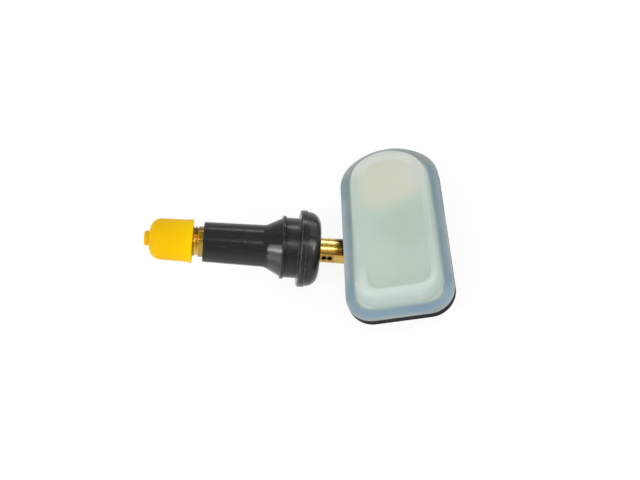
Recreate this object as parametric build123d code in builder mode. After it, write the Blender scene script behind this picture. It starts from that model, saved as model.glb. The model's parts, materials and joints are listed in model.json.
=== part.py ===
# Snap-in tyre pressure sensor: a rubber-covered tyre valve that carries a sealed electronics
# housing on its inner end. Millimetres and degrees. The origin is the centre of the rim seat on
# the valve's axis. +X runs from the valve to the housing, +Y to the housing's arched end, and
# +Z out of the housing's cover.
from build123d import *
import os
from math import cos, radians, sin, sqrt, tan

os.makedirs("parts", exist_ok=True)

# Valve axis
stem_pitch = 16.4  # rise of the stem towards its cap
stem_yaw = 5.9  # swing of the stem towards the arched end

# Rubber grommet, from the rim seat outwards and then inwards
groove_width = 3.4  # holds the wall of the wheel rim
groove_radius = 7.5
seat_fillet = 0.5
lip_width = 1.0
lip_height = 0.4  # from the groove out to the lip's edge
lip_step = 0.6  # from the lip's edge in to the cone
cone_length = 3.9
cone_fillet = 3.0
sleeve_length = 15.45
sleeve_root_radius = 5.25
sleeve_tip_radius = 5.0
rim_disc_thickness = 1.7
rim_disc_radius = 9.6
flange_thickness = 5.2
flange_step = 0.3  # from the disc's edge in to the flange behind it
flange_corner = 3.2
rubber_edge = 0.3  # small rounding of the moulded edges

# Brass valve stem
exposed_collar = 1.2  # plain brass between the rubber and the thread
hidden_collar = 0.8  # the collar's length inside the rubber
collar_radius = 3.85
thread_length = 10.0
thread_root_radius = 3.45  # the valve thread is left at its root
thread_major_radius = 3.85
tip_chamfer = 0.4
insert_radius = 3.3
anchor_radius = 4.8  # collar inside the rubber flange that keeps the stem from pulling out
anchor_outer = 1.0
anchor_length = 3.5
neck_radius = 3.1
neck_flats = 5.6  # across the two flats that stop the stem from turning
flat_turn = 22.0  # turn of the flats and the cross holes about the stem, from level
neck_chamfer = 0.3
air_bore_radius = 1.2
air_hole_radius = 0.6  # cross holes that let air into the tyre
air_hole_first = 1.2  # from the back of the rubber to the first cross hole
air_hole_pitch = 1.45
air_hole_count = 2

# Valve core, from the tip of the stem inwards
core_recess = 1.3
core_chamber_radius = 2.65
core_chamber_gap = 0.3  # from the barrel's head to the cone below it
core_seat_length = 1.4
core_bore_radius = 1.95
core_bore_length = 8.0
core_clearance = 0.1
barrel_head_length = 3.9
barrel_tool_length = 1.2
barrel_tool_width = 3.6
barrel_neck_radius = 1.48
barrel_tail_radius = 1.75
barrel_length = 8.6
barrel_ledge = 3.6  # from the barrel's top to the ledge that carries the spring
barrel_spring_radius = 1.3
barrel_pin_radius = 0.75
barrel_ledge_length = 3.0
barrel_air_radius = 1.15
gasket_length = 1.1
gasket_gap = 0.03
pin_radius = 0.6
pin_recess = 0.35  # from the stem's tip to the pin's tip
pin_head_radius = 1.1
pin_head_length = 0.5
pin_tail = 0.3  # riveted end of the pin beyond the plunger
plunger_radius = 1.5
plunger_length = 0.9
spring_length = 3.0
spring_radius = 0.92
spring_wire_radius = 0.14
spring_turns = 5

# Valve cap
cap_length = 10.75
cap_rim_radius = 5.5
cap_skirt_radius = 5.25
cap_top_radius = 5.1
cap_flare_length = 2.0
cap_corner = 3.05
cap_end_wall = 1.3
cap_nub_radius = 1.85
cap_nub_length = 1.3
cap_nub_edge = 0.5
cap_edge = 0.25
cap_thread_clearance = 0.1
cap_seal_thickness = 0.8
cap_seal_gap = 0.05
cap_seal_hole_radius = 2.2
cap_seal_clearance = 0.1

# Screw that holds the housing to the stem
screw_radius = 1.5
screw_clearance = 0.03
screw_engagement = 5.5
screw_hole_depth = 6.4
screw_head_radius = 2.6
screw_head_height = 2.0
screw_head_edge = 0.5
screw_recess_radius = 1.05
screw_recess_depth = 1.2
screw_lobe_radius = 0.4
screw_lobes = 6

# Housing
neck_reach = 11.65  # from the rim seat to the edge of the housing
stem_depth = 4.8  # from the parting plane down to the stem's axis at that edge
base_flange_thickness = 2.7
tub_step = 2.4  # from the flange's edge in to the tub's wall
tub_wall = 1.3
tub_draft = 4.0
tub_corner = 2.2
base_edge = 0.3
side_flare = 1.2  # how much wider each side is at the square end
crown_rise = 6.3
shoulder_radius = 8.0
corner_radius = 6.5
inner_corner = 0.6  # least corner of an outline that is drawn in
socket_depth = 5.2
socket_clearance = 0.06
socket_web = 2.0  # wall between the stem's end and the screw's head
boss_wall = 1.3
boss_setback = 0.3  # from the flange's edge in to the boss's face
tool_clearance = 0.6  # around the screw's head
channel_wall = 1.2
rib_thickness = 1.0
rib_spacing = 7.0
square_bay_length = 11.85

# Cover
cover_flange_thickness = 1.2
cover_flange_width = 2.4
cover_edge = 0.3
dome_height = 5.7
dome_slope = 12.0  # lean of the dome's wall from upright
dome_edge = 2.5
dome_foot = 0.7
dome_softness = 2.0  # how much rounder the dome's corners are than the flange's
dome_stretch = 0.35  # how much nearer the dome comes to the flange's edge at the arched end
cover_wall = 1.2

# Circuit board and what it carries
board_thickness = 1.0
board_headroom = 0.2
board_ledge = 0.7
board_clearance = 0.15
battery_radius = 8.0
battery_height = 3.2
battery_cap_radius = 6.7
battery_cap_height = 0.3
battery_edge = 0.4
battery_side_clearance = 0.4
battery_end_clearance = 0.25
tab_thickness = 0.2
tab_width = 3.0
tab_foot = 3.0
tab_height = 1.2  # from the battery's top up to the board
tab_space = 0.8  # between the battery and the screw channel
sensor_size = 7.0
sensor_height = 2.2
sensor_edge = 0.3
sensor_port_radius = 0.6
sensor_port_depth = 0.5
port_radius = 0.8
port_wall = 1.6
port_seal_height = 2.0
port_seal_wall = 1.2
crystal_length = 3.2
crystal_width = 2.5
crystal_height = 0.8
crystal_corner = 0.5
crystal_offset = 6.0
coil_length = 7.6
coil_height = 2.6
coil_cheek = 1.2
coil_bar = 1.2
coil_winding = 2.2
coil_gap = 0.02
chip_length = 1.6
chip_width = 0.8
capacitor_height = 0.8
resistor_height = 0.45
chip_pitch = 1.6
chip_count = 6
chip_row_gap = 3.0
antenna_inset = 6.4
antenna_thickness = 0.5
antenna_height = 3.4
antenna_lift = 1.6
antenna_leg = 2.5

# Stations along the stem, from the rim seat towards the cap
lip_start = groove_width
lip_end = lip_start + lip_width
cone_end = lip_end + cone_length
rubber_tip = cone_end + sleeve_length
collar_tip = rubber_tip + exposed_collar
stem_tip = collar_tip + thread_length
seal_start = stem_tip + cap_seal_gap
cap_inner_end = seal_start + cap_seal_thickness
cap_end = cap_inner_end + cap_end_wall
cap_rim = cap_end - cap_length
housing_entry = -neck_reach / (cos(radians(stem_pitch)) * cos(radians(stem_yaw)))
stem_end = housing_entry - socket_depth
screw_seat = stem_end - socket_web

# Radii of the rubber that follow from its groove and its disc
lip_radius = groove_radius + lip_height
cone_radius = lip_radius - lip_step
flange_radius = rim_disc_radius - flange_step
disc_edge = min(rubber_edge, flange_step / 2)  # rounding of the disc's edge at that step

# Levels and plan of the housing
lean = tan(radians(tub_draft))
axis_slope = tan(radians(stem_pitch)) / cos(radians(stem_yaw))
disc_low = (rim_disc_thickness - disc_edge) * sin(radians(stem_pitch))
disc_low += (rim_disc_radius - disc_edge) * cos(radians(stem_pitch)) + disc_edge
flange_low = (flange_thickness - flange_corner) * sin(radians(stem_pitch))
flange_low += (flange_radius - flange_corner) * cos(radians(stem_pitch)) + flange_corner
floor_z = -max(disc_low, flange_low)  # the rubber flange and the tub rest on one plane
parting_z = stem_depth - neck_reach * axis_slope
flange_bottom = parting_z - base_flange_thickness
cover_flange_top = parting_z + cover_flange_thickness
board_bottom = parting_z - board_headroom - board_thickness
board_top = board_bottom + board_thickness
battery_top = board_bottom - tab_height
battery_bottom = battery_top - battery_height
battery_lean = (flange_bottom - battery_bottom) * lean
tub_inset = tub_step + tub_wall
arch_half_width = battery_radius + battery_side_clearance + battery_lean + tub_inset
square_half_width = arch_half_width + side_flare
body_x = neck_reach + (arch_half_width + square_half_width) / 2
channel_radius = screw_head_radius + tool_clearance
block_half_width = (channel_radius + channel_wall) / cos(radians(stem_yaw))
channel_y = -body_x * tan(radians(stem_yaw))
battery_y = channel_y + block_half_width + tab_space + battery_radius
crown_reach = battery_y + battery_radius + battery_end_clearance + battery_lean + tub_inset
square_reach = block_half_width - channel_y + square_bay_length + tub_inset
sensor_y = channel_y - block_half_width - square_bay_length / 2

# Planes and directions of the stem
stem_dir = Vector(
    -cos(radians(stem_pitch)) * cos(radians(stem_yaw)),
    cos(radians(stem_pitch)) * sin(radians(stem_yaw)),
    sin(radians(stem_pitch)),
)
stem_side = Vector(-sin(radians(stem_yaw)), -cos(radians(stem_yaw)), 0)
stem_rise = stem_dir.cross(stem_side)
flat_dir = stem_side * cos(radians(flat_turn)) + stem_rise * sin(radians(flat_turn))
stem_axis = Axis((0, 0, 0), stem_dir)
stem_profile = Plane(origin=(0, 0, 0), x_dir=stem_dir, z_dir=stem_side)


def stem_section(station):
    """Plane across the stem, facing the cap, with its second axis upwards."""
    return Plane(origin=stem_dir * station, x_dir=stem_side, z_dir=stem_dir)


def turned(points):
    """Solid of revolution about the stem's axis, from (station, radius) corners."""
    with BuildPart() as blank:
        with BuildSketch(stem_profile):
            with BuildLine():
                Polyline(*points, close=True)
            make_face()
        revolve(axis=stem_axis)
    return blank.part


def corner(profile, x, y):
    """The corner of a profile nearest to a point of its own plane."""
    return profile.vertices().sort_by_distance((x, y, 0))[0]


def outline(inset, height, softness=0.0, stretch=0.0):
    """The housing's arched outline on a level plane, drawn in by inset.

    The corners can be softer, and the arched end can be stretched outwards.
    """
    crown_radius = (arch_half_width**2 + crown_rise**2) / (2 * crown_rise)
    crown_top = crown_reach + stretch
    crown_y = crown_top - crown_radius
    arch = arch_half_width - inset
    foot = square_half_width - inset
    low = inset - square_reach
    high = crown_y + sqrt((crown_radius - inset) ** 2 - arch**2)
    square = max(corner_radius + softness - inset, inner_corner)
    shoulder = max(shoulder_radius + softness - inset, inner_corner)
    with BuildSketch(Plane(origin=(body_x, 0, height))) as face:
        with BuildLine():
            sides = Polyline((-arch, high), (-foot, low), (foot, low), (arch, high))
            ThreePointArc(sides @ 1, (0, crown_top - inset), sides @ 0)
        make_face()
        fillet(face.vertices().group_by(Axis.Y)[0], radius=square)
        fillet(corner(face, arch, high), radius=shoulder)
        fillet(corner(face, -arch, high), radius=shoulder)
    return face.sketch


# Valve cap
with BuildPart() as valve_cap:
    cap_bore = thread_major_radius + cap_thread_clearance
    with BuildSketch(stem_profile) as cap_profile:
        with BuildLine():
            Polyline(
                (cap_rim, cap_bore),
                (cap_rim, cap_rim_radius),
                (cap_rim + cap_flare_length, cap_skirt_radius),
                (cap_end, cap_top_radius),
                (cap_end, cap_nub_radius),
                (cap_end + cap_nub_length, cap_nub_radius),
                (cap_end + cap_nub_length, 0),
                (cap_inner_end, 0),
                (cap_inner_end, cap_bore),
                close=True,
            )
        make_face()
        fillet(corner(cap_profile, cap_end, cap_top_radius), radius=cap_corner)
        fillet(corner(cap_profile, cap_end + cap_nub_length, cap_nub_radius), radius=cap_nub_edge)
        fillet(corner(cap_profile, cap_rim, cap_rim_radius), radius=cap_edge)
    revolve(axis=stem_axis)
valve_cap.part.label = "valve_cap"
export_step(valve_cap.part, "parts/valve_cap.step")

# Seal ring inside the cap
with BuildPart() as cap_seal:
    with BuildSketch(stem_section(seal_start)):
        Circle(cap_bore - cap_seal_clearance)
        Circle(cap_seal_hole_radius, mode=Mode.SUBTRACT)
    extrude(amount=cap_seal_thickness)
cap_seal.part.label = "cap_seal"
export_step(cap_seal.part, "parts/cap_seal.step")

# Outer form of the brass stem, which the rubber is moulded onto
collar_start = rubber_tip - hidden_collar
anchor_end = anchor_outer - anchor_length
stem_blank = turned(
    [
        (stem_tip, 0),
        (stem_tip, thread_root_radius - tip_chamfer),
        (stem_tip - tip_chamfer, thread_root_radius),
        (collar_tip, thread_root_radius),
        (collar_tip, collar_radius),
        (collar_start, collar_radius),
        (collar_start - (collar_radius - insert_radius), insert_radius),
        (anchor_outer + (anchor_radius - insert_radius), insert_radius),
        (anchor_outer, anchor_radius),
        (anchor_end, anchor_radius),
        (anchor_end - (anchor_radius - neck_radius), neck_radius),
        (stem_end + neck_chamfer, neck_radius),
        (stem_end, neck_radius - neck_chamfer),
        (stem_end, 0),
    ]
)

# Brass valve stem with its core chamber, air bore, cross holes, flats and screw hole
core_seat_start = stem_tip - core_recess - barrel_head_length - core_chamber_gap
core_seat_end = core_seat_start - core_seat_length
core_bore_end = core_seat_end - core_bore_length
air_holes = [
    -flange_thickness - air_hole_first - index * air_hole_pitch for index in range(air_hole_count)
]
air_bore_end = air_holes[-1] - air_hole_radius - neck_chamfer
stem_bore = turned(
    [
        (stem_tip, 0),
        (stem_tip, core_chamber_radius),
        (core_seat_start, core_chamber_radius),
        (core_seat_end, core_bore_radius),
        (core_bore_end, core_bore_radius),
        (core_bore_end, air_bore_radius),
        (air_bore_end, air_bore_radius),
        (air_bore_end, 0),
    ]
)
with BuildPart() as valve_stem:
    add(stem_blank)
    add(stem_bore, mode=Mode.SUBTRACT)
    with BuildSketch(stem_section(-flange_thickness)):
        Rectangle(4 * neck_radius, 4 * neck_radius, rotation=flat_turn)
        Rectangle(neck_flats, 4 * neck_radius, rotation=flat_turn, mode=Mode.SUBTRACT)
    extrude(amount=stem_end + flange_thickness, mode=Mode.SUBTRACT)
    with BuildSketch(Plane(origin=(0, 0, 0), x_dir=stem_dir, z_dir=flat_dir)):
        with Locations(*[(station, 0) for station in air_holes]):
            Circle(air_hole_radius)
    extrude(amount=neck_radius, both=True, mode=Mode.SUBTRACT)
    with BuildSketch(stem_section(stem_end)):
        Circle(screw_radius)
    extrude(amount=screw_hole_depth, mode=Mode.SUBTRACT)
valve_stem.part.label = "valve_stem"
export_step(valve_stem.part, "parts/valve_stem.step")

# Rubber grommet moulded around the stem
with BuildPart() as rubber_grommet:
    with BuildSketch(stem_profile) as grommet_profile:
        with BuildLine():
            Polyline(
                (rubber_tip, 0),
                (rubber_tip, sleeve_tip_radius),
                (cone_end, sleeve_root_radius),
                (lip_end, cone_radius),
                (lip_end, lip_radius),
                (lip_start, lip_radius),
                (lip_start, groove_radius),
                (0, groove_radius),
                (0, rim_disc_radius),
                (-rim_disc_thickness, rim_disc_radius),
                (-rim_disc_thickness, flange_radius),
                (-flange_thickness, flange_radius),
                (-flange_thickness, 0),
                close=True,
            )
        make_face()
        fillet(corner(grommet_profile, cone_end, sleeve_root_radius), radius=cone_fillet)
        fillet(corner(grommet_profile, -flange_thickness, flange_radius), radius=flange_corner)
        fillet(corner(grommet_profile, 0, groove_radius), radius=seat_fillet)
        for station, radius in [
            (rubber_tip, sleeve_tip_radius),
            (lip_end, lip_radius),
            (lip_start, lip_radius),
            (0, rim_disc_radius),
        ]:
            fillet(corner(grommet_profile, station, radius), radius=rubber_edge)
        fillet(corner(grommet_profile, -rim_disc_thickness, rim_disc_radius), radius=disc_edge)
    revolve(axis=stem_axis)
    add(stem_blank, mode=Mode.SUBTRACT)
rubber_grommet.part.label = "rubber_grommet"
export_step(rubber_grommet.part, "parts/rubber_grommet.step")

# Valve core barrel, with flats for the core tool
barrel_top = stem_tip - core_recess
barrel_end = barrel_top - barrel_length
barrel_head_end = barrel_top - barrel_head_length
barrel_radius = core_chamber_radius - core_clearance
gasket_end = barrel_head_end - gasket_length
spring_seat = barrel_top - barrel_ledge
barrel_ledge_end = spring_seat - barrel_ledge_length
with BuildPart() as core_barrel:
    add(
        turned(
            [
                (barrel_top, barrel_spring_radius),
                (barrel_top, barrel_radius),
                (barrel_head_end, barrel_radius),
                (barrel_head_end, barrel_neck_radius),
                (gasket_end, barrel_neck_radius),
                (gasket_end, barrel_tail_radius),
                (barrel_end, barrel_tail_radius),
                (barrel_end, barrel_air_radius),
                (barrel_ledge_end, barrel_air_radius),
                (barrel_ledge_end, barrel_pin_radius),
                (spring_seat, barrel_pin_radius),
                (spring_seat, barrel_spring_radius),
            ]
        )
    )
    with BuildSketch(stem_section(barrel_top)):
        Rectangle(4 * barrel_radius, 4 * barrel_radius)
        Rectangle(4 * barrel_radius, barrel_tool_width, mode=Mode.SUBTRACT)
    extrude(amount=-barrel_tool_length, mode=Mode.SUBTRACT)
core_barrel.part.label = "core_barrel"
export_step(core_barrel.part, "parts/core_barrel.step")

# Gasket between the barrel and the cone in the stem
with BuildPart() as core_gasket:
    cone_fall = (core_chamber_radius - core_bore_radius) / core_seat_length
    gasket_start = min(barrel_head_end, core_seat_start)
    wide = core_chamber_radius - cone_fall * (core_seat_start - gasket_start) - gasket_gap
    narrow = wide - cone_fall * (gasket_start - gasket_end)
    add(
        turned(
            [
                (gasket_start, barrel_neck_radius),
                (gasket_start, wide),
                (gasket_end, narrow),
                (gasket_end, barrel_neck_radius),
            ]
        )
    )
core_gasket.part.label = "core_gasket"
export_step(core_gasket.part, "parts/core_gasket.step")

# Valve pin with the head that bears on the spring
pin_tip = stem_tip - pin_recess
pin_head_end = spring_seat + spring_length
plunger_end = barrel_end - plunger_length
with BuildPart() as core_pin:
    add(
        turned(
            [
                (pin_tip, 0),
                (pin_tip, pin_radius),
                (pin_head_end + pin_head_length, pin_radius),
                (pin_head_end + pin_head_length, pin_head_radius),
                (pin_head_end, pin_head_radius),
                (pin_head_end, pin_radius),
                (plunger_end - pin_tail, pin_radius),
                (plunger_end - pin_tail, 0),
            ]
        )
    )
core_pin.part.label = "core_pin"
export_step(core_pin.part, "parts/core_pin.step")

# Plunger on the pin's inner end, which shuts the barrel
with BuildPart() as core_plunger:
    with BuildSketch(stem_section(barrel_end)):
        Circle(plunger_radius)
        Circle(pin_radius, mode=Mode.SUBTRACT)
    extrude(amount=-plunger_length)
core_plunger.part.label = "core_plunger"
export_step(core_plunger.part, "parts/core_plunger.step")

# Spring that shuts the valve
with BuildPart() as core_spring:
    spring_rise = spring_length - 2 * spring_wire_radius
    with BuildLine() as spring_path:
        Helix(
            pitch=spring_rise / spring_turns,
            height=spring_rise,
            radius=spring_radius,
            center=stem_dir * (spring_seat + spring_wire_radius),
            direction=stem_dir,
        )
    with BuildSketch(Plane(origin=spring_path.line @ 0, z_dir=spring_path.line % 0)):
        Circle(spring_wire_radius)
    sweep(path=spring_path.line)
core_spring.part.label = "core_spring"
export_step(core_spring.part, "parts/core_spring.step")

# Boss around the stem's socket, kept under the housing's flange
with BuildPart() as stem_boss:
    with BuildSketch(stem_section(stem_end)):
        Circle(neck_radius + socket_clearance + boss_wall)
    extrude(amount=2 * socket_depth)
    extrude(outline(boss_setback, floor_z), amount=parting_z - floor_z, mode=Mode.INTERSECT)

# Hollow of the tub: the room around the screw channel, the ribs and the port tower
port_x = body_x
tower_top = board_bottom - sensor_height - port_seal_height
with BuildPart() as tub_hollow:
    extrude(
        outline(tub_inset, flange_bottom),
        amount=floor_z + tub_wall - flange_bottom,
        taper=tub_draft,
    )
    extrude(outline(tub_inset, flange_bottom), amount=base_flange_thickness)
    with BuildSketch(stem_section(0)):
        Rectangle(2 * (channel_radius + channel_wall), 2 * (channel_radius + channel_wall))
        with Locations((0, -square_reach)):
            Rectangle(2 * (channel_radius + channel_wall), 2 * square_reach)
    extrude(amount=-4 * body_x, mode=Mode.SUBTRACT)
    with BuildSketch(Plane(origin=(body_x, battery_y, floor_z))):
        with GridLocations(0, rib_spacing, 1, 2):
            Rectangle(4 * battery_radius, rib_thickness)
    extrude(amount=battery_bottom - floor_z, mode=Mode.SUBTRACT)
    with BuildSketch(Plane(origin=(port_x, sensor_y, floor_z))):
        Circle(port_radius + port_wall)
    extrude(amount=tower_top - floor_z, mode=Mode.SUBTRACT)

# Housing: flange, drafted tub, stem socket, screw channel and pressure port
with BuildPart() as housing:
    extrude(outline(0, flange_bottom), amount=base_flange_thickness)
    fillet(housing.edges().group_by(Axis.Z)[0], radius=base_edge)
    extrude(outline(tub_step, flange_bottom), amount=floor_z - flange_bottom, taper=tub_draft)
    fillet(housing.edges().group_by(Axis.Z)[0], radius=tub_corner)
    add(stem_boss.part)
    add(tub_hollow.part, mode=Mode.SUBTRACT)
    extrude(
        outline(tub_inset - board_ledge, board_bottom),
        amount=parting_z - board_bottom,
        mode=Mode.SUBTRACT,
    )
    with BuildSketch(stem_section(stem_end)):
        Circle(neck_radius + socket_clearance)
        Rectangle(
            neck_flats + 2 * socket_clearance,
            4 * neck_radius,
            rotation=flat_turn,
            mode=Mode.INTERSECT,
        )
    extrude(amount=2 * socket_depth, mode=Mode.SUBTRACT)
    with BuildSketch(stem_section(stem_end)):
        Circle(screw_radius + socket_clearance)
    extrude(amount=-socket_web, mode=Mode.SUBTRACT)
    with BuildSketch(stem_section(screw_seat)):
        Circle(channel_radius)
        with Locations((0, -square_reach)):
            Rectangle(2 * channel_radius, 2 * square_reach)
    extrude(amount=-4 * body_x, mode=Mode.SUBTRACT)
    with BuildSketch(Plane(origin=(port_x, sensor_y, floor_z))):
        Circle(port_radius)
    extrude(amount=tower_top - floor_z, mode=Mode.SUBTRACT)
housing.part.label = "housing"
export_step(housing.part, "parts/housing.step")

# Screw with a six-lobed recess
with BuildPart() as stem_screw:
    with BuildSketch(stem_section(screw_seat)):
        Circle(screw_head_radius)
    extrude(amount=-screw_head_height)
    fillet(stem_screw.edges().group_by(stem_axis)[0], radius=screw_head_edge)
    with BuildSketch(stem_section(screw_seat)):
        Circle(screw_radius - screw_clearance)
    extrude(amount=socket_web + screw_engagement)
    with BuildSketch(stem_section(screw_seat - screw_head_height)):
        Circle(screw_recess_radius)
        with PolarLocations(screw_recess_radius, screw_lobes):
            Circle(screw_lobe_radius)
    extrude(amount=screw_recess_depth, mode=Mode.SUBTRACT)
stem_screw.part.label = "stem_screw"
export_step(stem_screw.part, "parts/stem_screw.step")

# Hollow of the cover, one wall inside the dome
with BuildPart() as cover_hollow:
    hollow_inset = cover_flange_width + cover_wall
    extrude(
        outline(hollow_inset, cover_flange_top, dome_softness, dome_stretch),
        amount=dome_height - cover_wall,
        taper=dome_slope,
    )
    fillet(cover_hollow.edges().group_by(Axis.Z)[-1], radius=max(dome_edge - cover_wall, inner_corner))
    extrude(
        outline(hollow_inset, parting_z, dome_softness, dome_stretch),
        amount=cover_flange_thickness,
    )

# Cover: welding flange and hollow dome
with BuildPart() as cover:
    extrude(outline(0, parting_z), amount=cover_flange_thickness)
    fillet(cover.edges().group_by(Axis.Z)[-1], radius=cover_edge)
    extrude(
        outline(cover_flange_width, cover_flange_top, dome_softness, dome_stretch),
        amount=dome_height,
        taper=dome_slope,
    )
    fillet(cover.edges().group_by(Axis.Z)[-1], radius=dome_edge)
    foot_edges = cover.edges().filter_by_position(Axis.Z, cover_flange_top, cover_flange_top)
    fillet(foot_edges.filter_by(lambda edge: edge.is_interior), radius=dome_foot)
    add(cover_hollow.part, mode=Mode.SUBTRACT)
cover.part.label = "cover"
export_step(cover.part, "parts/cover.step")

# Circuit board on the ledge inside the flange
with BuildPart() as circuit_board:
    extrude(
        outline(tub_inset - board_ledge + board_clearance, board_bottom), amount=board_thickness
    )
circuit_board.part.label = "circuit_board"
export_step(circuit_board.part, "parts/circuit_board.step")

# Button cell under the board, with its smaller pole upwards
with BuildPart() as battery_cell:
    with BuildSketch(Plane(origin=(body_x, battery_y, battery_bottom))):
        Circle(battery_radius)
    extrude(amount=battery_height - battery_cap_height)
    fillet(battery_cell.edges(), radius=battery_edge)
    with BuildSketch(Plane(origin=(body_x, battery_y, battery_top - battery_cap_height))):
        Circle(battery_cap_radius)
    extrude(amount=battery_cap_height)
battery_cell.part.label = "battery_cell"
export_step(battery_cell.part, "parts/battery_cell.step")


def bent_tab(plane, points):
    """Strip of sheet metal bent along points in the plane."""
    with BuildPart() as strip:
        with BuildSketch(plane):
            with BuildLine() as route:
                Polyline(*points)
            trace(route.line, line_width=tab_thickness)
        extrude(amount=tab_width / 2, both=True)
    return strip.part


# Contact strips welded to the cell and soldered under the board
half_strip = tab_thickness / 2
with BuildPart() as battery_tab_negative:
    riser = tab_height - tab_thickness
    add(
        bent_tab(
            Plane((body_x, battery_y, battery_top + half_strip), x_dir=(1, 0, 0), z_dir=(0, -1, 0)),
            [(-tab_foot, 0), (0, 0), (riser, riser), (riser + tab_foot, riser)],
        )
    )
battery_tab_negative.part.label = "battery_tab_negative"
export_step(battery_tab_negative.part, "parts/battery_tab_negative.step")

with BuildPart() as battery_tab_positive:
    tab_y = battery_radius + tab_space / 2
    tab_rise = board_bottom - battery_bottom
    add(
        bent_tab(
            Plane((body_x, battery_y, battery_bottom - half_strip), x_dir=(0, 1, 0), z_dir=(1, 0, 0)),
            [
                (-battery_radius + tab_foot, 0),
                (-tab_y, 0),
                (-tab_y, tab_rise),
                (-tab_y - tab_foot, tab_rise),
            ],
        )
    )
battery_tab_positive.part.label = "battery_tab_positive"
export_step(battery_tab_positive.part, "parts/battery_tab_positive.step")

# Pressure sensor under the board, over the port
with BuildPart() as sensor_chip:
    with BuildSketch(Plane(origin=(port_x, sensor_y, board_bottom))):
        Rectangle(sensor_size, sensor_size)
    extrude(amount=-sensor_height)
    chamfer(sensor_chip.edges().group_by(Axis.Z)[0], length=sensor_edge)
    with BuildSketch(Plane(origin=(port_x, sensor_y, board_bottom - sensor_height))):
        Circle(sensor_port_radius)
    extrude(amount=sensor_port_depth, mode=Mode.SUBTRACT)
sensor_chip.part.label = "sensor_chip"
export_step(sensor_chip.part, "parts/sensor_chip.step")

# Soft ring that joins the sensor to the port tower
with BuildPart() as port_seal:
    with BuildSketch(Plane(origin=(port_x, sensor_y, tower_top))):
        Circle(port_radius + port_seal_wall)
        Circle(port_radius, mode=Mode.SUBTRACT)
    extrude(amount=port_seal_height)
port_seal.part.label = "port_seal"
export_step(port_seal.part, "parts/port_seal.step")

# Crystal on the board, over the end of the screw channel
with BuildPart() as crystal:
    with BuildSketch(Plane(origin=(body_x + crystal_offset, channel_y, board_top))):
        RectangleRounded(crystal_width, crystal_length, crystal_corner)
    extrude(amount=crystal_height)
crystal.part.label = "crystal"
export_step(crystal.part, "parts/crystal.step")

# Wake-up coil: a ferrite bar with cheeks, and its winding
coil_middle = Plane(origin=(body_x, sensor_y, board_top + coil_height / 2), z_dir=(1, 0, 0))
with BuildPart() as lf_coil_core:
    with BuildSketch(coil_middle):
        Rectangle(coil_height, coil_height)
    extrude(amount=coil_length / 2, both=True)
    with BuildSketch(coil_middle):
        Rectangle(2 * coil_height, 2 * coil_height)
        Rectangle(coil_bar, coil_bar, mode=Mode.SUBTRACT)
    extrude(amount=coil_length / 2 - coil_cheek, both=True, mode=Mode.SUBTRACT)
lf_coil_core.part.label = "lf_coil_core"
export_step(lf_coil_core.part, "parts/lf_coil_core.step")

with BuildPart() as lf_coil_winding:
    with BuildSketch(coil_middle):
        RectangleRounded(coil_winding, coil_winding, coil_bar / 3)
        Rectangle(coil_bar + 2 * coil_gap, coil_bar + 2 * coil_gap, mode=Mode.SUBTRACT)
    extrude(amount=coil_length / 2 - coil_cheek - coil_gap, both=True)
lf_coil_winding.part.label = "lf_coil_winding"
export_step(lf_coil_winding.part, "parts/lf_coil_winding.step")

# Rows of small capacitors and resistors beside the crystal
with BuildPart() as capacitors:
    with BuildSketch(Plane(origin=(body_x, channel_y - chip_row_gap, board_top))):
        with GridLocations(chip_pitch, 0, chip_count, 1):
            Rectangle(chip_width, chip_length)
    extrude(amount=capacitor_height)
capacitors.part.label = "capacitors"
export_step(capacitors.part, "parts/capacitors.step")

with BuildPart() as resistors:
    with BuildSketch(Plane(origin=(body_x, channel_y, board_top))):
        with GridLocations(chip_pitch, 0, chip_count, 1):
            Rectangle(chip_width, chip_length)
    extrude(amount=resistor_height)
resistors.part.label = "resistors"
export_step(resistors.part, "parts/resistors.step")

# Strip antenna that follows the arched end on two legs
with BuildPart() as rf_antenna:
    extrude(outline(antenna_inset, board_top), amount=antenna_height)
    extrude(
        outline(antenna_inset + antenna_thickness, board_top),
        amount=antenna_height,
        mode=Mode.SUBTRACT,
    )
    with BuildSketch(Plane(origin=(body_x, battery_y - battery_radius, board_top))):
        Rectangle(4 * battery_radius, square_reach + crown_reach, align=(Align.CENTER, Align.MAX))
    extrude(amount=antenna_height, mode=Mode.SUBTRACT)
    with BuildSketch(Plane(origin=(body_x, battery_y - battery_radius + antenna_leg, board_top))):
        Rectangle(4 * battery_radius, crown_reach, align=(Align.CENTER, Align.MIN))
    extrude(amount=antenna_lift, mode=Mode.SUBTRACT)
rf_antenna.part.label = "rf_antenna"
export_step(rf_antenna.part, "parts/rf_antenna.step")
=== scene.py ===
# Looks of the snap-in tyre pressure sensor: a finish for every solid, the screw threads and mould
# seams that the solids leave out, and the studio around it. Lengths are in millimetres until they
# are handed to Blender, which takes metres. A station is a distance along the stem from the rim
# seat towards the cap, and a turn is an angle around the stem in degrees, from its side.
import json
from math import cos, pi, radians, sin, tan

import bmesh
import bpy
from mathutils import Matrix, Vector
from mathutils.bvhtree import BVHTree


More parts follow.
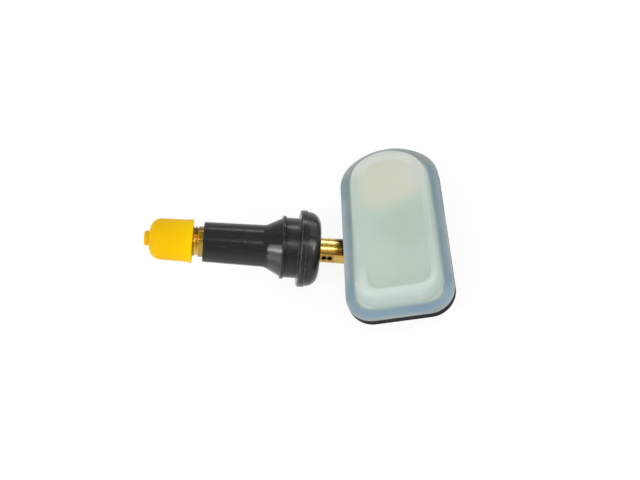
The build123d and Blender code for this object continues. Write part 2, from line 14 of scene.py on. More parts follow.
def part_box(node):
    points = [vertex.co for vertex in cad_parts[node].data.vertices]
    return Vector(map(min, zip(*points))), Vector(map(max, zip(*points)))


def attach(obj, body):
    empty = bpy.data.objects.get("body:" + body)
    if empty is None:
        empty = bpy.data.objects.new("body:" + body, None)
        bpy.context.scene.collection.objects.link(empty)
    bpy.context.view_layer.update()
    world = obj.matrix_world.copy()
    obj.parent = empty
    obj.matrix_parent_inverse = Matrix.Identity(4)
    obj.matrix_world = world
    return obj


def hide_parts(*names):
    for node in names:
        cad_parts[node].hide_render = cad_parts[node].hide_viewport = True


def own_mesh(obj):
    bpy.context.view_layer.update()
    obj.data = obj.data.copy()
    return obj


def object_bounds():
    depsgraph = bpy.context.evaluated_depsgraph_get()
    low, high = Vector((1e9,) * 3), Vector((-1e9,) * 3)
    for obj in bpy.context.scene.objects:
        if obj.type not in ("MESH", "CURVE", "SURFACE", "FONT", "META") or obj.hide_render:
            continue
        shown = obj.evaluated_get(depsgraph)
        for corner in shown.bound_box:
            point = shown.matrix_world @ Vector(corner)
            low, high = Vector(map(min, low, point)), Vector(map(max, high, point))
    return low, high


MM = 0.001

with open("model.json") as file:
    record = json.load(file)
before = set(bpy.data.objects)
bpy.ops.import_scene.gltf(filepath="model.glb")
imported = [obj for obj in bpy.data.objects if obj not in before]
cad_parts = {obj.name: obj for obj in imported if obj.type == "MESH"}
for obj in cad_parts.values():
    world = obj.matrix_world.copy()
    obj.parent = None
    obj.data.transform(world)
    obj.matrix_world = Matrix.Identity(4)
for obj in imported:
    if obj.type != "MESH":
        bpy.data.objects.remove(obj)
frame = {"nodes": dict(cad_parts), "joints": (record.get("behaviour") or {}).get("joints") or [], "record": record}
cad_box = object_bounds()
nodes = frame["nodes"]
record = frame["record"]

# Camera, as in the photograph
view_azimuth = 19.7  # from the front towards the housing
view_elevation = 63.7
view_roll = 25.9
view_distance = 350.0
view_right = 5.42  # from the rim seat to the middle of the picture
view_up = 2.08
view_start = 10.0  # least distance at which things are drawn
focal_length = 78.75
sensor_width = 36.0

# Valve thread, cap thread and valve core thread
exposed_collar = 1.2  # plain brass between the rubber and the valve thread
valve_thread_depth = 0.4
cap_thread_depth = 0.4
cap_thread_clearance = 0.1
thread_crest = 0.1  # flat on top of a ridge
thread_half_angle = 30.0
thread_sink = 0.04  # how far a ridge's foot reaches into what carries it
thread_run_in = 0.4  # plain length left at the ends of a thread
thread_fade = 0.5  # part of a full circle over which a ridge rises at its ends
core_thread_pitch = 0.7056
core_thread_depth = 0.3
core_thread_run_in = 0.05
core_chamber_radius = 2.65
steps_per_turn = 56

# Valve spring
spring_radius = 0.92
spring_wire_radius = 0.14
spring_turns = 5
spring_steps_per_turn = 32
spring_wire_sides = 10
spring_play = 0.03  # left free at the pin's head

# Brass: the neck's flats and cross holes, painted reflections in bands around the stem, painted shade at the
# housing end, and marks of the tool
flat_turn = 22.0  # how far the flats and the cross holes are turned about the stem
air_holes = (-6.4, -7.85)  # stations of the cross holes
air_hole_radius = 0.6
# Painted shade round the cross holes, and painted light inside them
hole_wall = 0.95 * air_hole_radius  # where the inside of a hole takes over
hole_shade = (2.1 * air_hole_radius, 1.2 * air_hole_radius)  # where it starts and where it is full
housing_shade = (-8.4, -9.8)  # stations where it starts and where it is full
housing_shade_turns = (50.0, 60.0)
tool_mark = 0.16  # width of a turned ring
streak_waver = 7.0  # how far the painted reflection bands turn to either side
collar_fade = 0.2  # length over which the collar's colours give way to the thread's

# Rubber: edges with painted highlights, and mould seams of the sleeve
disc_radius = 9.6
disc_thickness = 1.7
lip_radius = 7.9
lip_end = 4.4
cone_end = 8.3  # where the sleeve starts
edge_width = 0.36
seam_width = 0.28
seam_height = 0.07
seam_step = 0.35
seam_margin = 0.3
seam_fade = 3  # steps over which a seam rises at its ends

# Rubber: stations where each painted sheen, highlight and reflection starts and where it is full
back_sheen = (-2.6, -4.0)
highlight_before_cone = (lip_end, lip_end - 0.3)
groove_highlights_from_lip = (3.2, 1.8)  # of the rim groove
groove_highlights_from_disc = (-0.05, 0.05)
glint_from_disc = (-1.4, -2.6)  # of the flange's back
glint_from_brass = (-4.1, -3.6)
cone_reflection_end = 7.5  # where the painted reflection on the cone ends
cone_reflection_fade = 0.5  # to either side of its ends

# Rubber: turns where each painted sheen, highlight and reflection starts and where it is full
sheen_below_turns = (55.0, 25.0)
sheen_above_turns = (108.0, 140.0)
back_sheen_turns = (74.0, 84.0)
groove_highlights_turns = (52.0, 58.0)
cone_reflection_turns = (74.0, 67.0)
edge_highlight_turns = (80.0, 64.0)
highlight_streak = (70.0, 15.0, 3.0)  # its middle, its reach and how far out it is full

# Cover: outline that its colours follow
cover_flange_thickness = 1.2
cover_flange_width = 2.4
cover_arch_half_width = 12.3  # at the shoulders
cover_side_flare = 1.2
cover_crown_rise = 6.3
cover_corner_blend = 11.4
dome_corner_blend = 5.2  # the dome's corners are drawn tighter than the flange's
dome_corner_start = 0.3  # how far in from the edge that begins
cover_shoulder_blend = 2.6
dome_stretch = 0.35  # the dome comes this much nearer to the edge at the arched end
plateau_lean = 0.17  # sideways drift of the colours for each millimetre up the dome

# Cover: distances at which a colour starts and at which it is full
from_square_end = (13.0, 7.0)
# painted light on the right half of the cover
right_of_middle = (5.0, 8.5)
# painted highlight along the dome's edge at the crown
highlight_ring_from_crown = (11.0, 7.0)
# painted grey shading of the flange at the crown end
rim_from_crown = (7.2, 4.6)
warm_from_cell = (10.8, 4.6)

# Cover: ways from the dome's foot at which a colour starts and at which it is full
flange_way = (0.5, -0.4)
edge_way = (0.35 - cover_flange_width, 0.1 - cover_flange_width)
dome_way = (0.5, 2.5)
highlight_ring_way = (10.2, 9.2)
warm_way = (4.5, 9.5)
plateau_way = (8.6, 9.6)

# Cover: patches of colour, each with its place, its reach and how far out it is full
cool_patch = ((28.5, -1.0), 9.0, 2.0)  # greener, on the plateau
pale_light_patch = ((19.5, -10.5), 10.0, 2.0)  # painted light, paler, on the plateau
highlight_patch = ((32.3, 11.5), 6.0, 1.5)  # painted highlight, palest, at the plateau's edge
deep_shade_patch = ((13.2, 13.5), 5.5, 2.0)  # painted shade, the deepest colour of the flange
dark_shade_patch = ((37.2, 8.6), 7.5, 4.5)  # painted shade, a dark stretch of the flange's edge

# Noise in every finish
noise_roughness = 0.55

# Studio
floor_size = 3000.0
floor_bounce = 0.85  # grey of the floor where it only lights the object
floor_shade = 0.13  # grey of the floor, as seen, that takes the object's shadow
floor_glow = 0.9  # what brings that floor to white
lamp_distance = 700.0
world_strength = 0.67


def srgb(red, green, blue):
    """Linear colour, with full opacity, of an 8-bit screen colour."""
    linear = []
    for channel in (red, green, blue):
        share = channel / 255
        linear.append(share / 12.92 if share <= 0.04045 else ((share + 0.055) / 1.055) ** 2.4)
    return (*linear, 1.0)


def grey(level):
    """Linear grey with full opacity."""
    return (level, level, level, 1.0)


# The stem's own directions and stations, read from the frame
joints = {joint["name"]: joint for joint in frame["joints"]}
coupling = record["behaviour"]["couplings"][0]
valve_thread_pitch = 2 * pi / coupling["ratio"] / MM
stem_dir = Vector(joints["cap_turn"]["axis"]).normalized()
stem_side = Vector((0, 0, 1)).cross(stem_dir).normalized()
stem_up = stem_dir.cross(stem_side)
flat_across = stem_up * cos(radians(flat_turn)) - stem_side * sin(radians(flat_turn))


def stations(node):
    """The first and last station of a node."""
    along = [vertex.co.dot(stem_dir) / MM for vertex in nodes[node].data.vertices]
    return min(along), max(along)


def around_stem(station, radius, angle):
    """A point around the stem's axis, with its angle in radians."""
    outward = stem_side * cos(angle) + stem_up * sin(angle)
    return (stem_dir * station + outward * radius) * MM


stem_tip = stations("valve_stem")[1]
rubber_tip = stations("rubber_grommet")[1]
collar_tip = rubber_tip + exposed_collar
cap_rim, cap_top = stations("valve_cap")
seal_start = stations("cap_seal")[0]
barrel_top = stations("core_barrel")[1]


# Helpers for node materials
def add_node(tree, kind, inputs=None, **settings):
    """Adds a node to a material. An input that is a socket is linked, and any other is set."""
    made = tree.nodes.new(kind)
    for name, value in settings.items():
        setattr(made, name, value)
    for name, value in (inputs or {}).items():
        if isinstance(value, bpy.types.NodeSocket):
            tree.links.new(value, made.inputs[name])
        else:
            made.inputs[name].default_value = value
    return made


class Finish:
    """A principled material whose patterns are in millimetres of the part's frame."""

    def __init__(self, name, roughness, metallic=0.0, specular=0.5):
        self.material = bpy.data.materials.new(name)
        self.material.use_nodes = True
        self.tree = self.material.node_tree
        self.shader = self.tree.nodes["Principled BSDF"]
        self.set("Roughness", roughness)
        self.set("Metallic", metallic)
        self.set("Specular IOR Level", specular)
        place = add_node(self.tree, "ShaderNodeTexCoord")
        scaled = {0: place.outputs["Object"], "Scale": 1 / MM}
        self.place = add_node(
            self.tree, "ShaderNodeVectorMath", scaled, operation="SCALE"
        ).outputs["Vector"]

    def set(self, socket, value):
        """Links or sets an input of the shader."""
        if isinstance(value, bpy.types.NodeSocket):
            self.tree.links.new(value, self.shader.inputs[socket])
        else:
            self.shader.inputs[socket].default_value = value

    def noise(self, size, detail=3.0, stretch=(1, 1, 1), place=None):
        """Noise whose patches are about size across."""
        scale = Vector(stretch) / size
        moved = add_node(
            self.tree, "ShaderNodeMapping", {"Vector": place or self.place, "Scale": scale}
        )
        inputs = {
            "Vector": moved.outputs["Vector"],
            "Scale": 1.0,
            "Detail": detail,
            "Roughness": noise_roughness,
        }
        return add_node(self.tree, "ShaderNodeTexNoise", inputs).outputs["Fac"]

    def ramp(self, factor, stops):
        """Colour from a factor, by (position, colour) stops."""
        ramp = add_node(self.tree, "ShaderNodeValToRGB", {"Fac": factor})
        ramp.color_ramp.interpolation = "EASE"
        elements = ramp.color_ramp.elements
        while len(elements) < len(stops):
            elements.new(1.0)
        for element, (position, colour) in zip(elements, stops):
            element.position = position
            element.color = colour
        return ramp.outputs["Color"]

    def graded(self, value, stops):
        """Colour from a value, by (value, colour) stops."""
        low, high = stops[0][0], stops[-1][0]
        share = self.span(value, low, high)
        return self.ramp(share, [((at - low) / (high - low), colour) for at, colour in stops])

    def span(self, value, low, high, to_low=0.0, to_high=1.0, smooth=False):
        """Maps a value from one span to another."""
        kind = "SMOOTHSTEP" if smooth else "LINEAR"
        inputs = {
            "Value": value,
            "From Min": low,
            "From Max": high,
            "To Min": to_low,
            "To Max": to_high,
        }
        mapped = add_node(self.tree, "ShaderNodeMapRange", inputs, interpolation_type=kind)
        return mapped.outputs["Result"]

    def near(self, value, middle, reach, full, strength=1.0, smooth=True):
        """Mask of the values near a middle one: all within full of it, none beyond reach."""
        off = self.maths("ABSOLUTE", self.maths("SUBTRACT", value, middle))
        return self.span(off, reach, full, 0.0, strength, smooth)

    def patch(self, place, reach, full, strength=1.0):
        """Mask of a round patch around an upright line."""
        return self.span(self.from_upright(*place), reach, full, 0.0, strength, smooth=True)

    def where(self, first, *others):
        """Product of masks, which is full only where all of them are."""
        for mask in others:
            first = self.maths("MULTIPLY", first, mask)
        return first

    def mix(self, factor, first, second):
        """Mix of two colours."""
        inputs = {"Factor": factor, 6: first, 7: second}
        return add_node(self.tree, "ShaderNodeMix", inputs, data_type="RGBA").outputs[2]

    def layered(self, colour, layers):
        """A colour with (mask, colour) layers over it, the last one on top."""
        for mask, over in layers:
            colour = self.mix(mask, colour, over)
        return colour

    def maths(self, operation, *values):
        """Result of an operation on numbers."""
        inputs = dict(enumerate(values))
        return add_node(self.tree, "ShaderNodeMath", inputs, operation=operation).outputs["Value"]

    def distance(self, *offsets):
        """Length of two offsets at right angles."""
        squares = [self.maths("MULTIPLY", offset, offset) for offset in offsets]
        return self.maths("SQRT", self.maths("ADD", *squares))

    def along(self, direction):
        """Distance along a direction of the part's frame."""
        inputs = {0: self.place, 1: direction}
        return add_node(
            self.tree, "ShaderNodeVectorMath", inputs, operation="DOT_PRODUCT"
        ).outputs["Value"]

    def axis(self, letter):
        """Distance along an axis of the part's frame."""
        return add_node(
            self.tree, "ShaderNodeSeparateXYZ", {"Vector": self.place}
        ).outputs[letter]

    def from_upright(self, x, y, ahead=False):
        """Distance from an upright line, or from the upright plane behind it along -Y."""
        beside = self.maths("SUBTRACT", self.axis("X"), x)
        beyond = self.maths("SUBTRACT", self.axis("Y"), y)
        if ahead:
            beyond = self.maths("MAXIMUM", beyond, 0.0)
        return self.distance(beside, beyond)

    def along_stem(self, stretch):
        """Place in the stem's own directions, drawn out along the stem."""
        inputs = {
            "X": self.along(stem_side),
            "Y": self.along(stem_up),
            "Z": self.along(stem_dir / stretch),
        }
        return add_node(self.tree, "ShaderNodeCombineXYZ", inputs).outputs["Vector"]

    def from_stem(self):
        """Distance from the stem's axis."""
        return self.distance(self.along(stem_side), self.along(stem_up))

    def round_stem(self):
        """Turn around the stem, from its side up or down."""
        turn = self.maths("ARCTAN2", self.along(stem_up), self.along(stem_side))
        return self.maths("MULTIPLY", self.maths("ABSOLUTE", turn), 180 / pi)

    def bump(self, *layers):
        """Relief from (height, depth in millimetres) layers."""
        normal = None
        for height, depth in layers:
            inputs = {"Height": height, "Distance": depth * MM, "Strength": 1.0}
            if normal:
                inputs["Normal"] = normal
            normal = add_node(self.tree, "ShaderNodeBump", inputs).outputs["Normal"]
        self.set("Normal", normal)


# Finishes, one for each material slot of the record
def cap_yellow():
    """Yellow moulded plastic with a soft gloss, faint scuffs and painted shade that darkens it towards the dome
    end.
    """
    finish = Finish("cap_yellow", 0.42, specular=0.06)
    # Painted shade along the cap: lighter at the open end, darker towards the dome end
    cap_shade_grade = finish.ramp(finish.span(finish.along(stem_dir), cap_rim, cap_top), [
        (0.0, srgb(249, 206, 0)),
        (0.35, srgb(246, 194, 2)),
        (0.65, srgb(238, 187, 3)),
        (0.9, srgb(227, 180, 5)),
        (1.0, srgb(233, 188, 14)),
    ])
    cloud = finish.span(finish.noise(6.0, detail=2.0), 0.3, 0.7, 0.0, 0.5)
    scuffs = finish.noise(0.9, detail=5.0, place=finish.along_stem(5.0))
    wear_and_highlight = finish.span(scuffs, 0.6, 0.78, 0.0, 0.3)
    finish.set("Base Color", finish.layered(cap_shade_grade, [
        (cloud, srgb(244, 194, 3)),
        (wear_and_highlight, srgb(248, 206, 50)),
    ]))
    finish.set("Roughness", finish.span(scuffs, 0.35, 0.7, 0.36, 0.5))
    finish.bump((finish.noise(0.35), 0.006), (finish.noise(2.5), 0.012))
    return finish


def edge_highlight_band(finish, station, radius):
    """Mask of an edge around the stem, where a painted highlight goes."""
    along = finish.along(stem_dir)
    near = finish.near(along, station, edge_width / 2, edge_width / 4, smooth=False)
    outside = finish.span(finish.from_stem(), radius - edge_width, radius - edge_width / 2)
    return finish.where(near, outside)


def grommet_rubber():
    """Black moulded rubber with rubbed streaks along the stem, painted sheen, painted highlights in streaks,
    bands, glints and on its edges, and a painted reflection on the cone.
    """
    finish = Finish("grommet_rubber", 0.22, specular=0.25)
    station = finish.along(stem_dir)
    turn = finish.round_stem()
    black = finish.ramp(finish.noise(3.0, detail=5.0), [
        (0.3, srgb(10, 10, 9)),
        (0.55, srgb(16, 16, 14)),
        (0.78, srgb(30, 30, 27)),
    ])
    # Painted sheen on the lower and upper sides of the rubber
    sheen_below = finish.span(turn, *sheen_below_turns, 0.0, 0.8, smooth=True)
    sheen_above = finish.span(turn, *sheen_above_turns, 0.0, 0.3, smooth=True)
    # Painted sheen on the flange's back
    behind = finish.where(
        finish.span(station, *back_sheen, 0.0, 0.9, smooth=True),
        finish.span(finish.noise(2.2), 0.25, 0.6, 0.55, 1.0),
        finish.span(turn, *back_sheen_turns, 0.2, 1.0, smooth=True),
    )
    # Painted highlight in a streak along the top of the rubber
    on_top = finish.where(
        finish.near(turn, *highlight_streak, 0.5),
        finish.span(station, *highlight_before_cone),
    )
    # Painted highlights and shade in bands around the rim groove
    groove_highlights = finish.graded(turn, [
        (57.0, srgb(16, 16, 14)),
        (63.0, srgb(34, 34, 32)),
        (67.0, srgb(56, 56, 53)),
        (71.5, srgb(64, 64, 61)),
        (76.0, srgb(60, 60, 57)),
        (80.0, srgb(54, 54, 51)),
        (85.0, srgb(30, 29, 27)),
        (92.0, srgb(24, 23, 21)),
        (99.0, srgb(40, 38, 35)),
        (105.0, srgb(63, 60, 56)),
        (110.0, srgb(80, 77, 71)),
        (115.0, srgb(60, 58, 52)),
        (125.0, srgb(30, 29, 26)),
    ])
    in_groove = finish.where(
        finish.span(station, *groove_highlights_from_lip, smooth=True),
        finish.span(station, *groove_highlights_from_disc),
        finish.span(turn, *groove_highlights_turns),
    )
    # Painted highlights and shade on the flange's back, by turn around the stem
    glint = finish.graded(turn, [
        (45.0, srgb(40, 40, 37)),
        (52.0, srgb(34, 34, 32)),
        (65.0, srgb(50, 50, 49)),
        (70.0, srgb(72, 72, 71)),
        (75.0, srgb(114, 114, 113)),
        (80.0, srgb(74, 74, 71)),
        (84.0, srgb(22, 22, 20)),
        (90.0, srgb(54, 55, 49)),
        (97.0, srgb(46, 46, 42)),
        (104.0, srgb(68, 68, 64)),
        (110.0, srgb(98, 98, 94)),
        (117.0, srgb(30, 30, 27)),
    ])
    on_back = finish.where(
        finish.span(station, *glint_from_disc, smooth=True),
        finish.span(station, *glint_from_brass, smooth=True),
    )
    # Painted reflection on the lower side of the cone
    cone_reflection = finish.graded(turn, [
        (15.0, srgb(78, 81, 77)),
        (28.0, srgb(62, 65, 62)),
        (42.0, srgb(48, 51, 49)),
        (51.0, srgb(68, 72, 69)),
        (60.0, srgb(94, 98, 95)),
        (68.0, srgb(99, 103, 100)),
    ])
    cone_reflection_middle = (lip_end + cone_reflection_end) / 2
    cone_reflection_reach = cone_reflection_end - cone_reflection_middle
    on_cone = finish.where(
        finish.near(station, cone_reflection_middle, cone_reflection_reach + cone_reflection_fade, cone_reflection_reach - cone_reflection_fade),
        finish.span(turn, *cone_reflection_turns, 0.0, 0.95, smooth=True),
    )
    rubbed = finish.span(finish.noise(0.8, detail=4.0, place=finish.along_stem(8.0)), 0.58, 0.75)
    painted = finish.layered(black, [
        (finish.maths("ADD", sheen_below, sheen_above), srgb(46, 46, 42)),
        (behind, srgb(62, 62, 57)),
        (on_top, srgb(50, 50, 46)),
        (in_groove, groove_highlights),
        (on_back, glint),
        (on_cone, cone_reflection),
        (rubbed, srgb(48, 46, 41)),
    ])
    # Painted highlights on the disc's and the lip's edges, broken up by noise and fuller on the lower side
    edge_highlight_noise = finish.where(
        finish.span(finish.noise(1.4, detail=2.0), 0.3, 0.55),
        finish.span(turn, *edge_highlight_turns, 0.4, 1.0, smooth=True),
    )
    for edge, radius, colour in (
        (-edge_width, disc_radius, srgb(90, 89, 84)),
        (edge_width / 2 - disc_thickness, disc_radius, srgb(74, 73, 68)),
        (lip_end, lip_radius, srgb(70, 70, 66)),
    ):
        wear_and_highlight = finish.where(edge_highlight_noise, edge_highlight_band(finish, edge, radius))
        painted = finish.mix(wear_and_highlight, painted, colour)
    finish.set("Base Color", painted)
    finish.set("Roughness", finish.span(finish.noise(1.6, detail=4.0), 0.3, 0.7, 0.18, 0.28))
    finish.bump((finish.noise(0.22, detail=2.0), 0.004), (finish.noise(1.6), 0.012))
    return finish


def seal_rubber():
    """Soft black rubber of the seals."""
    finish = Finish("seal_rubber", 0.6, specular=0.3)
    finish.set("Base Color", finish.ramp(finish.noise(0.8), [
        (0.3, srgb(22, 22, 23)),
        (0.7, srgb(40, 40, 41)),
    ]))
    finish.bump((finish.noise(0.2), 0.01))
    return finish


def brass():
    """Drawn and turned brass with painted reflections in bands around the stem that waver in streaks along it,
    coppery threads, tarnish stains, and painted shade at the housing and round the cross holes.
    """
    finish = Finish("brass", 0.2, metallic=1.0)
    station = finish.along(stem_dir)
    streaks = finish.noise(1.1, place=finish.along_stem(9.0))
    waver = finish.span(streaks, 0.2, 0.8, -streak_waver, streak_waver)
    turn = finish.maths("ADD", finish.round_stem(), waver)
    # Painted reflections and shade: bright and dark bands by turn around the stem, for the neck, the collar and
    # the threads
    neck = finish.graded(turn, [
        (0.0, srgb(196, 164, 88)),
        (22.0, srgb(206, 174, 96)),
        (44.0, srgb(188, 150, 74)),
        (49.0, srgb(104, 76, 28)),
        (53.0, srgb(122, 84, 34)),
        (59.0, srgb(164, 110, 42)),
        (66.0, srgb(178, 134, 62)),
        (71.0, srgb(212, 184, 98)),
        (76.0, srgb(238, 216, 122)),
        (82.0, srgb(200, 168, 80)),
        (89.0, srgb(140, 114, 40)),
        (96.0, srgb(206, 178, 88)),
        (104.0, srgb(240, 224, 142)),
        (114.0, srgb(180, 146, 72)),
        (124.0, srgb(176, 142, 76)),
        (140.0, srgb(240, 226, 176)),
        (160.0, srgb(210, 180, 104)),
        (180.0, srgb(170, 132, 60)),
    ])
    collar = finish.graded(turn, [
        (0.0, srgb(164, 138, 72)),
        (22.0, srgb(181, 153, 82)),
        (42.0, srgb(174, 149, 76)),
        (51.0, srgb(167, 141, 72)),
        (62.0, srgb(152, 125, 61)),
        (73.0, srgb(104, 84, 34)),
        (80.0, srgb(124, 100, 38)),
        (97.0, srgb(129, 104, 38)),
        (106.0, srgb(100, 82, 33)),
        (117.0, srgb(98, 80, 40)),
        (145.0, srgb(150, 126, 74)),
        (180.0, srgb(140, 110, 52)),
    ])
    threads = finish.graded(turn, [
        (0.0, srgb(206, 172, 96)),
        (18.0, srgb(228, 196, 104)),
        (36.0, srgb(232, 186, 84)),
        (51.0, srgb(206, 154, 48)),
        (66.0, srgb(209, 156, 52)),
        (74.0, srgb(186, 132, 54)),
        (82.0, srgb(203, 147, 38)),
        (96.0, srgb(222, 152, 28)),
        (106.0, srgb(103, 79, 16)),
        (117.0, srgb(90, 75, 32)),
        (150.0, srgb(140, 114, 66)),
        (180.0, srgb(150, 112, 60)),
    ])
    # Painted shade where the neck goes into the housing
    at_housing = finish.where(
        finish.span(station, *housing_shade, 0.0, 0.95), finish.span(turn, *housing_shade_turns)
    )
    painted = finish.mix(at_housing, neck, srgb(78, 60, 16))
    # Painted shade round each cross hole, and painted light inside it
    for hole in air_holes:
        ahead = finish.maths("SUBTRACT", station, hole)
        off = finish.distance(ahead, finish.along(flat_across))
        outside = finish.span(off, hole_wall, air_hole_radius)
        inside = finish.span(off, air_hole_radius, hole_wall)
        shade_round_hole = finish.where(finish.span(off, *hole_shade, 0.0, 0.7), outside)
        painted = finish.layered(painted, [
            (shade_round_hole, srgb(110, 80, 28)),
            (inside, srgb(255, 208, 128)),
        ])
    stain = finish.span(finish.noise(0.9, detail=4.0), 0.54, 0.7, 0.0, 0.5)
    finish.set("Base Color", finish.layered(painted, [
        (finish.span(station, 0.0, cone_end), collar),
        (finish.span(station, collar_tip - collar_fade, collar_tip), threads),
        (stain, srgb(112, 74, 28)),
    ]))
    finish.set("Roughness", finish.span(finish.noise(0.7), 0.3, 0.7, 0.14, 0.28))
    rings = finish.maths("SINE", finish.maths("MULTIPLY", station, 2 * pi / tool_mark))
    finish.bump((rings, 0.0008), (finish.noise(0.5), 0.002))
    return finish


def housing_black():
    """Black glass-filled plastic with a spark-eroded grain."""
    finish = Finish("housing_black", 0.55, specular=0.06)
    finish.set("Base Color", finish.ramp(finish.noise(0.5, detail=5.0), [
        (0.3, srgb(13, 13, 14)),
        (0.75, srgb(24, 24, 25)),
    ]))
    finish.set("Roughness", finish.span(finish.noise(1.5), 0.3, 0.7, 0.45, 0.62))
    finish.bump((finish.noise(0.3, detail=4.0), 0.02))
    return finish


def from_dome_foot(finish):
    """Way over the cover's surface from the dome's foot, which is negative on the flange."""
    low, high = (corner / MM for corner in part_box("cover"))
    half_width = cover_arch_half_width + cover_side_flare
    crown_radius = (cover_arch_half_width**2 + cover_crown_rise**2) / (2 * cover_crown_rise)
    middle = (low.x + high.x) / 2
    narrowing = cover_side_flare / (high.y - low.y - cover_crown_rise)
    climb = finish.maths("SUBTRACT", finish.axis("Z"), low.z + cover_flange_thickness)
    climb = finish.maths("MAXIMUM", climb, 0.0)
    from_end = finish.maths("SUBTRACT", finish.axis("Y"), low.y)
    drifted = finish.maths("MULTIPLY_ADD", climb, -plateau_lean, finish.axis("X"))
    across = finish.maths("ABSOLUTE", finish.maths("SUBTRACT", drifted, middle))
    outside = finish.maths("MULTIPLY_ADD", from_end, narrowing, across)
    from_side = finish.maths("SUBTRACT", half_width, outside)
    crown_reach = finish.from_upright(middle, high.y - crown_radius, ahead=True)
    from_crown = finish.maths("SUBTRACT", crown_radius + dome_stretch, crown_reach)
    insets = []
    for corner_blend in (cover_corner_blend, dome_corner_blend):
        squared = finish.maths("SMOOTH_MIN", from_side, from_end, corner_blend)
        insets.append(finish.maths("SMOOTH_MIN", squared, from_crown, cover_shoulder_blend))
    inward = finish.span(insets[0], dome_corner_start, cover_flange_width, smooth=True)
    tighter = finish.maths("MULTIPLY", inward, finish.maths("SUBTRACT", insets[1], insets[0]))
    inset = finish.maths("ADD", insets[0], tighter)
    return finish.maths("SUBTRACT", finish.maths("ADD", inset, climb), cover_flange_width)


def cover_milky():
    """Milky plastic: blue-grey over the black flange, pale on the dome, warm over the cell, with painted
    highlights, painted light and painted shade.
    """
    finish = Finish("cover_milky", 0.4, specular=0.4)
    low, high = (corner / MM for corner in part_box("cover"))
    cell_low, cell_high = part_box("battery_cell")
    cell = (cell_low + cell_high) / 2 / MM
    way = from_dome_foot(finish)
    from_end = finish.maths("SUBTRACT", finish.axis("Y"), low.y)
    from_crown = finish.maths("SUBTRACT", high.y, finish.axis("Y"))
    from_middle = finish.maths("SUBTRACT", finish.axis("X"), (low.x + high.x) / 2)
    # Colours by way from the dome's foot: the flange's blue-grey, the dome's pale walls and plateau, and a paler
    # outer edge of the flange that is a painted reflection
    sides = finish.graded(way, [
        (-2.4, srgb(174, 178, 183)),
        (-1.9, srgb(166, 177, 185)),
        (-1.4, srgb(150, 168, 177)),
        (-0.8, srgb(137, 156, 164)),
        (-0.3, srgb(139, 157, 162)),
        (0.5, srgb(171, 182, 179)),
        (1.2, srgb(188, 200, 192)),
        (3.0, srgb(190, 203, 194)),
        (9.0, srgb(185, 200, 189)),
        (12.5, srgb(181, 198, 185)),
    ])
    # At the square end the flange's outer edge is a darker grey as painted shade, and the dome's near edge carries
    # a painted highlight with a darker line inside it
    square_end = finish.graded(way, [
        (-2.6, srgb(142, 148, 149)),
        (-2.3, srgb(147, 158, 164)),
        (-2.0, srgb(138, 158, 172)),
        (-1.6, srgb(128, 154, 176)),
        (-0.7, srgb(129, 153, 172)),
        (-0.2, srgb(139, 158, 164)),
        (0.9, srgb(186, 198, 189)),
        (2.6, srgb(192, 204, 197)),
        (6.0, srgb(192, 204, 197)),
        (6.9, srgb(199, 212, 203)),
        (8.3, srgb(200, 214, 204)),
        (8.9, srgb(177, 193, 180)),
        (12.5, srgb(181, 197, 183)),
    ])
    # Painted grey shading of the flange at the crown end
    rim = finish.graded(way, [
        (-2.4, srgb(182, 184, 181)),
        (-1.4, srgb(163, 166, 163)),
        (-0.6, srgb(152, 155, 150)),
    ])
    near_end = finish.span(from_end, *from_square_end, smooth=True)
    lightened_right = finish.span(from_middle, *right_of_middle, 0.0, 0.4, smooth=True)
    at_ring = finish.span(from_crown, *highlight_ring_from_crown, smooth=True)
    at_rim = finish.span(from_crown, *rim_from_crown, 0.0, 0.85, smooth=True)
    on_flange = finish.span(way, *flange_way)
    on_edge = finish.span(way, *edge_way)
    on_dome = finish.span(way, *dome_way, smooth=True)
    on_ring = finish.span(way, *highlight_ring_way, smooth=True)
    on_top = finish.span(way, *warm_way, smooth=True)
    on_plateau = finish.span(way, *plateau_way, smooth=True)
    cloud = finish.span(finish.noise(7.0), 0.35, 0.75, 0.0, 0.22)
    fine = finish.noise(0.4, detail=2.0, stretch=(1, 0.2, 1))
    scratches = finish.span(fine, 0.74, 0.8, 0.0, 0.4)
    # The right half takes in part of the square end's colours as painted light
    painted = finish.mix(finish.maths("MAXIMUM", near_end, lightened_right), sides, square_end)
    finish.set("Base Color", finish.layered(painted, [
        (finish.where(finish.patch(cell.xy, *warm_from_cell), on_top), srgb(203, 207, 187)),
        # Painted highlight along the dome's edge at the crown
        (finish.where(at_ring, on_dome, on_ring), srgb(209, 215, 205)),
        # Painted shade: the deep and dark stretches of the flange
        (finish.where(finish.patch(*deep_shade_patch, 0.75), on_flange), srgb(128, 148, 148)),
        (finish.where(finish.patch(*dark_shade_patch, 0.75), on_edge), srgb(120, 128, 130)),
        (finish.where(at_rim, on_flange), rim),
        (finish.patch(*cool_patch, 0.6), srgb(172, 191, 175)),
        # Painted light on the plateau and painted highlight at the dome's edge
        (finish.where(finish.patch(*pale_light_patch, 0.55), on_plateau), srgb(193, 205, 187)),
        (finish.where(finish.patch(*highlight_patch, 0.6), on_dome), srgb(204, 208, 199)),
        (cloud, srgb(178, 199, 190)),
        (scratches, srgb(216, 226, 218)),
    ]))
    finish.set("Roughness", finish.span(finish.noise(2.0), 0.3, 0.7, 0.34, 0.46))
    finish.bump((finish.noise(1.2), 0.006))
    return finish


def board_green():
    """Solder mask."""
    finish = Finish("board_green", 0.35)
    finish.set("Base Color", finish.ramp(finish.noise(1.5), [
        (0.35, srgb(18, 74, 46)),
        (0.7, srgb(30, 96, 60)),
    ]))
    finish.bump((finish.noise(0.4), 0.01))
    return finish


